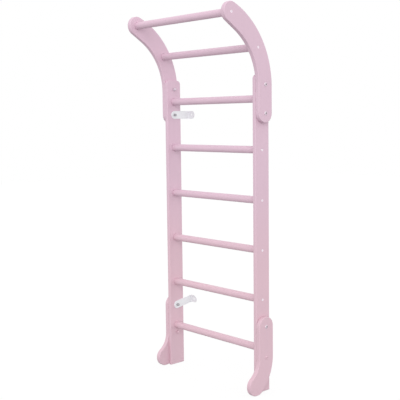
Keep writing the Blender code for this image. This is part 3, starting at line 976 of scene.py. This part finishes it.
def screw_mesh():
    """A countersunk screw with a cross recess and its head's flat face at Z = 0."""
    sizes = bpy.context.scene.ladder_fasteners
    head = sizes.screw_head / 2
    shank = sizes.screw_shank / 2
    long = extent("right_rung_2_screw").x
    recess = cross(sizes.recess_reach, sizes.recess_width)
    edge = sizes.screw_head * SCREW_EDGE
    section = [
        (0.0, -sizes.recess_depth),
        (scaled(recess, RECESS_FLOOR), -sizes.recess_depth),
        (recess, -edge),
        (scaled(recess, MOUTH_FLARE), 0.0),
        (head - edge, 0.0),
        (head, -edge),
        (shank, -sizes.screw_head_depth),
        (shank, 2 * shank - long),
        (0.0, -long),
    ]
    return lofted_mesh("countersunk_screw", section, SCREW_STEPS)


def dome_rings(radius, height, base, inner):
    """Rings of a round cap, from an inner radius out to its rim."""
    sphere = (radius**2 + height**2) / (2 * height)
    centre = base + height - sphere
    start = math.asin(inner / sphere)
    end = math.acos((sphere - height) / sphere)
    turns = [start + (end - start) * i / DOME_STEPS for i in range(DOME_STEPS + 1)]
    return [(sphere * math.sin(turn), centre + sphere * math.cos(turn)) for turn in turns]


def bolt_mesh(long):
    """A dome-headed bolt with a hexagon socket and the underside of its head at Z = 0."""
    sizes = bpy.context.scene.ladder_fasteners
    shank = sizes.bolt_shank / 2
    head = sizes.bolt_head / 2
    socket = hexagon(sizes.bolt_socket)
    land = sizes.bolt_socket * SOCKET_LAND
    dome = dome_rings(head, sizes.bolt_dome - sizes.bolt_rim, sizes.bolt_rim, land)
    top = dome[0][1]
    floor = top - sizes.bolt_socket_depth
    ease = sizes.bolt_socket * SOCKET_EASE
    chamfer = shank * SHANK_CHAMFER
    section = [
        (0.0, floor - 2 * ease),
        (scaled(socket, SOCKET_FLOOR), floor),
        (socket, floor + ease),
        (socket, top - ease),
        (scaled(socket, MOUTH_FLARE), top),
        *dome,
        (head, ease),
        (head - ease, 0.0),
        (shank, 0.0),
        (shank, chamfer - long),
        (shank - chamfer, -long),
        (0.0, -long),
    ]
    return lofted_mesh("dome_bolt", section, BOLT_STEPS, recessed=3)


def nut_mesh():
    """A cap nut with its flat face at Z = 0: a chamfered hexagon, a neck and a round cap, with a bore."""
    sizes = bpy.context.scene.ladder_fasteners
    flats = hexagon(sizes.nut_flats)
    tall = extent("right_arm_upper_nut").x
    cap = sizes.nut_cap / 2
    bore = bolt_bore()
    bore_end = tall - cap / 2 - NUT_CAP_WALL
    face = sizes.nut_flats / 2 * NUT_FACE
    slope = math.tan(NUT_CHAMFER)

    def below(turn):
        return slope * (flats(turn) - face)

    section = [
        (0.0, bore_end),
        (bore, bore_end),
        (bore, slope * bore * BORE_FLARE_RISE),
        (bore * BORE_FLARE, 0.0),
        (face, 0.0),
        (flats, below),
        (flats, lambda turn: sizes.nut_height - below(turn)),
        (face, sizes.nut_height),
        (cap, sizes.nut_height + NUT_NECK),
        *reversed(dome_rings(cap, cap, tall - cap, cap * NUT_CAP_TIP)),
        (0.0, tall),
    ]
    return lofted_mesh("cap_nut", section, BOLT_STEPS)


def washer_mesh():
    """A flat washer with eased edges and its lower face at Z = 0."""
    size = extent("right_arm_upper_washer")
    outer = size.y / 2
    inner = bolt_bore()
    top = size.x
    ease = top * WASHER_EASE
    section = [
        (inner, ease),
        (inner + ease, 0.0),
        (outer - ease, 0.0),
        (outer, ease),
        (outer, top - ease),
        (outer - ease, top),
        (inner + ease, top),
        (inner, top - ease),
    ]
    shape = bmesh.new()
    banded(shape, turned_rows(section, BOLT_STEPS), closed=True)
    return made_mesh(shape, "flat_washer")


# Wall brackets


def bracket_blank(reach):
    """The flat strip that a bracket is bent from, about its bolt hole: width along Y, length along Z and
    thickness up from X = 0. Also gives where its bend starts and the radius of its middle line."""
    sizes = bpy.context.scene.ladder_fasteners
    half = sizes.bracket_width / 2
    straight = reach - sizes.bracket_metal - sizes.bracket_bend
    neutral = sizes.bracket_bend + sizes.bracket_metal / 2
    tab_hole = straight + neutral * QUARTER + sizes.bracket_tab
    tab_hole -= sizes.bracket_bend + sizes.bracket_metal + half
    outline = [
        *arc((0.0, tab_hole), half, 0.0, math.pi),
        *arc((0.0, 0.0), half, math.pi, math.tau),
    ]
    ease = sizes.bracket_edge / 2
    radii = ((0.0, bolt_bore()), (tab_hole, sizes.wall_hole / 2))
    holes = [(Vector((0.0, at)), eased_hole(radius, sizes.bracket_metal, ease)) for at, radius in radii]
    mesh = board_mesh("bracket", outline, sizes.bracket_metal, sizes.bracket_edge, holes)
    return mesh, straight, neutral


def bracket_mesh(sign, reach):
    """A bracket bent from its blank: a leg along the rail, from the bolt hole at the origin back to the
    wall, and a tab that turns inward to lie on the wall."""
    sizes = bpy.context.scene.ladder_fasteners
    blank, straight, neutral = bracket_blank(reach)
    outside = sizes.bracket_metal + sizes.bracket_bend
    shape = bmesh.new()
    shape.from_mesh(blank)
    for i in range(BEND_STEPS + 1):
        line = (0.0, 0.0, straight + neutral * QUARTER * i / BEND_STEPS)
        geometry = shape.verts[:] + shape.edges[:] + shape.faces[:]
        bmesh.ops.bisect_plane(shape, geom=geometry, plane_co=line, plane_no=(0.0, 0.0, 1.0), dist=WELD)
    for vertex in shape.verts:
        up, across, along = vertex.co
        past = max(0.0, along - straight)
        turn = min(QUARTER, past / neutral)
        tab = past - turn * neutral
        radius = outside - up
        inward = outside - radius * math.cos(turn) + tab
        back = min(along, straight) + radius * math.sin(turn)
        vertex.co = (-sign * inward, back, across)
    return made_mesh(shape, "bracket")


# Stage


def seen_directly(graph):
    """1 for what the camera sees, also in a reflection or through glass, and 0 for light on a surface."""
    rays = graph.node("ShaderNodeLightPath")
    straight, glossy, through = [
        graph.wire(rays, f"Is {kind} Ray") for kind in ("Camera", "Glossy", "Transmission")
    ]
    return (straight + glossy + through).clamped()


def add_floor():
    """A wide pale floor under the ladder. The camera sees it as white, with the ladder's soft shadow."""
    stage = bpy.context.scene.ladder_stage
    shape = bmesh.new()
    bmesh.ops.create_grid(shape, x_segments=1, y_segments=1, size=FLOOR_HALF_WIDTH)
    mesh = bpy.data.meshes.new("studio_floor")
    shape.to_mesh(mesh)
    shape.free()
    material, graph, place = new_surface("studio_floor")
    mottle = graph.noise(place, scale=3.0, detail=4.0)
    tone = graph.varied(mottle, [stage.floor_tone] * 3, dark=0.96, light=1.04)
    matt = graph.value("ShaderNodeBsdfDiffuse", {"Color": tone})
    white = graph.value("ShaderNodeEmission", {"Strength": stage.floor_white})
    factor = seen_directly(graph) * (1.0 - stage.floor_shade)
    mix = graph.value("ShaderNodeMixShader", {0: factor, 1: matt, 2: white})
    graph.node("ShaderNodeOutputMaterial", {"Surface": mix})
    mesh.materials.append(material)
    add_object("studio_floor", mesh)


def add_room_light():
    """Even light from all around, which the camera sees as white."""
    world = bpy.data.worlds.new("studio_room")
    bpy.context.scene.world = world
    graph = opened(world)
    levels = (bpy.context.scene.ladder_stage.room_light, 1.0)
    room, white = [
        graph.value("ShaderNodeBackground", {"Color": WHITE, "Strength": level}) for level in levels
    ]
    mix = graph.value("ShaderNodeMixShader", {0: seen_directly(graph), 1: room, 2: white})
    graph.node("ShaderNodeOutputWorld", {"Surface": mix})


def add_front_light():
    """A wide soft light from the camera's side, as even from near to far as a distant one."""
    stage = bpy.context.scene.ladder_stage
    light = bpy.data.lights.new("front_light", "SUN")
    light.energy = stage.front_strength
    light.angle = stage.front_spread
    level = Vector((math.sin(stage.front_azimuth), -math.cos(stage.front_azimuth), 0.0))
    aim = level * math.cos(stage.front_height) + Vector((0.0, 0.0, math.sin(stage.front_height)))
    lamp = add_object("front_light", light)
    lamp.rotation_euler = (-aim).to_track_quat("-Z", "Y").to_euler()


def add_camera():
    """The camera of the studio picture, from its place, angles and lens."""
    stage = bpy.context.scene.ladder_stage
    azimuth = stage.camera_azimuth
    pitch = stage.camera_pitch
    forward = Vector((-math.sin(azimuth), math.cos(azimuth), 0.0))
    ahead = math.cos(pitch) * forward - math.sin(pitch) * Vector((0.0, 0.0, 1.0))
    level = Vector((math.cos(azimuth), math.sin(azimuth), 0.0))
    down = ahead.cross(level)
    roll = stage.camera_roll
    across = math.cos(roll) * level + math.sin(roll) * down
    up = math.sin(roll) * level - math.cos(roll) * down
    lens = bpy.data.cameras.new("studio_camera")
    lens.lens = stage.camera_lens
    lens.sensor_width = SENSOR_WIDTH
    camera = add_object("studio_camera", lens)
    turn = Matrix((across, up, -ahead)).transposed().to_4x4()
    camera.matrix_world = Matrix.Translation(stage.camera_place) @ turn
    bpy.context.scene.camera = camera


# Operators, one for each piece or group of like pieces, and one for the stage


class LADDER_OT_add_side_rails(bpy.types.Operator):
    """Add the two upright side rails, with sockets for the rungs"""

    bl_idname = "ladder.add_side_rails"
    bl_label = "Add Side Rails"

    def execute(self, context):
        make_boards("side_rail", rail_outline(), RUNGS, ARM_BOLTS + FOOT_BOLTS)
        return {"FINISHED"}


class LADDER_OT_add_top_arms(bpy.types.Operator):
    """Add the two curved arms that carry the overhanging bars"""

    bl_idname = "ladder.add_top_arms"
    bl_label = "Add Top Arms"

    def execute(self, context):
        make_boards("top_arm", arm_outline(), OVERHANG_BARS, ARM_BOLTS)
        return {"FINISHED"}


class LADDER_OT_add_feet(bpy.types.Operator):
    """Add the two feet with their round toes"""

    bl_idname = "ladder.add_feet"
    bl_label = "Add Feet"

    def execute(self, context):
        make_boards("foot", foot_outline(), [], FOOT_BOLTS)
        return {"FINISHED"}


class LADDER_OT_add_rungs(bpy.types.Operator):
    """Add the row of round rungs between the side rails"""

    bl_idname = "ladder.add_rungs"
    bl_label = "Add Rungs"

    def execute(self, context):
        make_bars("round_rungs", RUNGS, middle(RUNGS[1]).z - middle(RUNGS[0]).z)
        return {"FINISHED"}


class LADDER_OT_add_overhang_bars(bpy.types.Operator):
    """Add the two round bars between the arms"""

    bl_idname = "ladder.add_overhang_bars"
    bl_label = "Add Overhang Bars"

    def execute(self, context):
        for bar in OVERHANG_BARS:
            make_bars(f"round_{bar}", [bar], 0.0)
        return {"FINISHED"}


class LADDER_OT_add_screws(bpy.types.Operator):
    """Add a countersunk screw at each end of each bar"""

    bl_idname = "ladder.add_screws"
    bl_label = "Add Screws"

    def execute(self, context):
        nodes = fastener_nodes(RUNGS + OVERHANG_BARS, "screw")
        make_fasteners("countersunk_screws", screw_mesh(), nodes, SCREW_SEED, ZINC)
        return {"FINISHED"}


class LADDER_OT_add_bolts(bpy.types.Operator):
    """Add the dome-headed bolts through the arms, feet and rails"""

    bl_idname = "ladder.add_bolts"
    bl_label = "Add Bolts"

    def execute(self, context):
        dome = context.scene.ladder_fasteners.bolt_dome
        for group, (joints, finish) in BOLT_GROUPS.items():
            blank = bolt_mesh(extent(f"right_{joints[0]}_bolt").x - dome)
            make_fasteners(group, blank, fastener_nodes(joints, "bolt"), BOLT_SEED, finish, rise=dome)
        return {"FINISHED"}


class LADDER_OT_add_nuts(bpy.types.Operator):
    """Add the cap nuts on the inner faces of the rails"""

    bl_idname = "ladder.add_nuts"
    bl_label = "Add Cap Nuts"

    def execute(self, context):
        for group, (joints, finish) in NUT_GROUPS.items():
            make_fasteners(group, nut_mesh(), fastener_nodes(joints, "nut"), NUT_SEED, finish, inward=True)
        return {"FINISHED"}


class LADDER_OT_add_washers(bpy.types.Operator):
    """Add the washers under the nuts that bear on wood"""

    bl_idname = "ladder.add_washers"
    bl_label = "Add Washers"

    def execute(self, context):
        for group, (joints, finish) in WASHER_GROUPS.items():
            nodes = fastener_nodes(joints, "washer")
            make_fasteners(group, washer_mesh(), nodes, WASHER_SEED, finish, inward=True)
        return {"FINISHED"}


class LADDER_OT_add_brackets(bpy.types.Operator):
    """Add the bent wall brackets, each turning on its own bolt"""

    bl_idname = "ladder.add_brackets"
    bl_label = "Add Wall Brackets"

    def execute(self, context):
        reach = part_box("left_upper_bracket")[1].y
        hinges = {joint["child"]: Vector(joint["pos_m"]) for joint in frame["joints"]}
        material, slot = POWDER_COAT
        for side, sign in SIDES.items():
            for level in LEVELS:
                node = f"{side}_{level}_bracket"
                mesh = bracket_mesh(sign, reach)
                turn = Matrix.Rotation(BRACKET_TURNS[node], 4, "X")
                mesh.transform(Matrix.Translation(hinges[node]) @ turn)
                mesh.materials.append(finish_for(material))
                piece = add_object(f"{side}_{level}_wall_bracket", mesh)
                put_in_place(shaded(piece), node, [node], slot)
        return {"FINISHED"}


class LADDER_OT_add_stage(bpy.types.Operator):
    """Add the floor, the soft light and the camera"""

    bl_idname = "ladder.add_stage"
    bl_label = "Add Stage"

    def execute(self, context):
        add_floor()
        add_room_light()
        add_front_light()
        add_camera()
        return {"FINISHED"}


class LADDER_PT_pieces(bpy.types.Panel):
    """The ladder's pieces and sizes"""

    bl_idname = "LADDER_PT_pieces"
    bl_label = "Climbing Ladder"
    bl_space_type = "VIEW_3D"
    bl_region_type = "UI"
    bl_category = "Ladder"

    def draw(self, context):
        pieces = self.layout.column(align=True)
        for operator in OPERATORS:
            pieces.operator(operator.bl_idname)
        for group in GROUPS:
            sizes = self.layout.box().column()
            settings = getattr(context.scene, group)
            for name in settings.bl_rna.properties.keys():
                if name not in ("name", "rna_type"):
                    sizes.prop(settings, name)


GROUPS = {
    "ladder_boards": LadderBoards,
    "ladder_fasteners": LadderFasteners,
    "ladder_finishes": LadderFinishes,
    "ladder_stage": LadderStage,
}
OPERATORS = (
    LADDER_OT_add_side_rails,
    LADDER_OT_add_top_arms,
    LADDER_OT_add_feet,
    LADDER_OT_add_rungs,
    LADDER_OT_add_overhang_bars,
    LADDER_OT_add_screws,
    LADDER_OT_add_bolts,
    LADDER_OT_add_nuts,
    LADDER_OT_add_washers,
    LADDER_OT_add_brackets,
    LADDER_OT_add_stage,
)


def register():
    for name, group in GROUPS.items():
        bpy.utils.register_class(group)
        setattr(bpy.types.Scene, name, bpy.props.PointerProperty(type=group))
    for kind in (*OPERATORS, LADDER_PT_pieces):
        bpy.utils.register_class(kind)


def unregister():
    for kind in (LADDER_PT_pieces, *reversed(OPERATORS)):
        bpy.utils.unregister_class(kind)
    for name, group in GROUPS.items():
        delattr(bpy.types.Scene, name)
        bpy.utils.unregister_class(group)


def main():
    register()
    bpy.context.scene.view_settings.view_transform = "Standard"
    for operator in OPERATORS:
        family, action = operator.bl_idname.split(".")
        getattr(getattr(bpy.ops, family), action)()


if __name__ == "__main__":
    main()
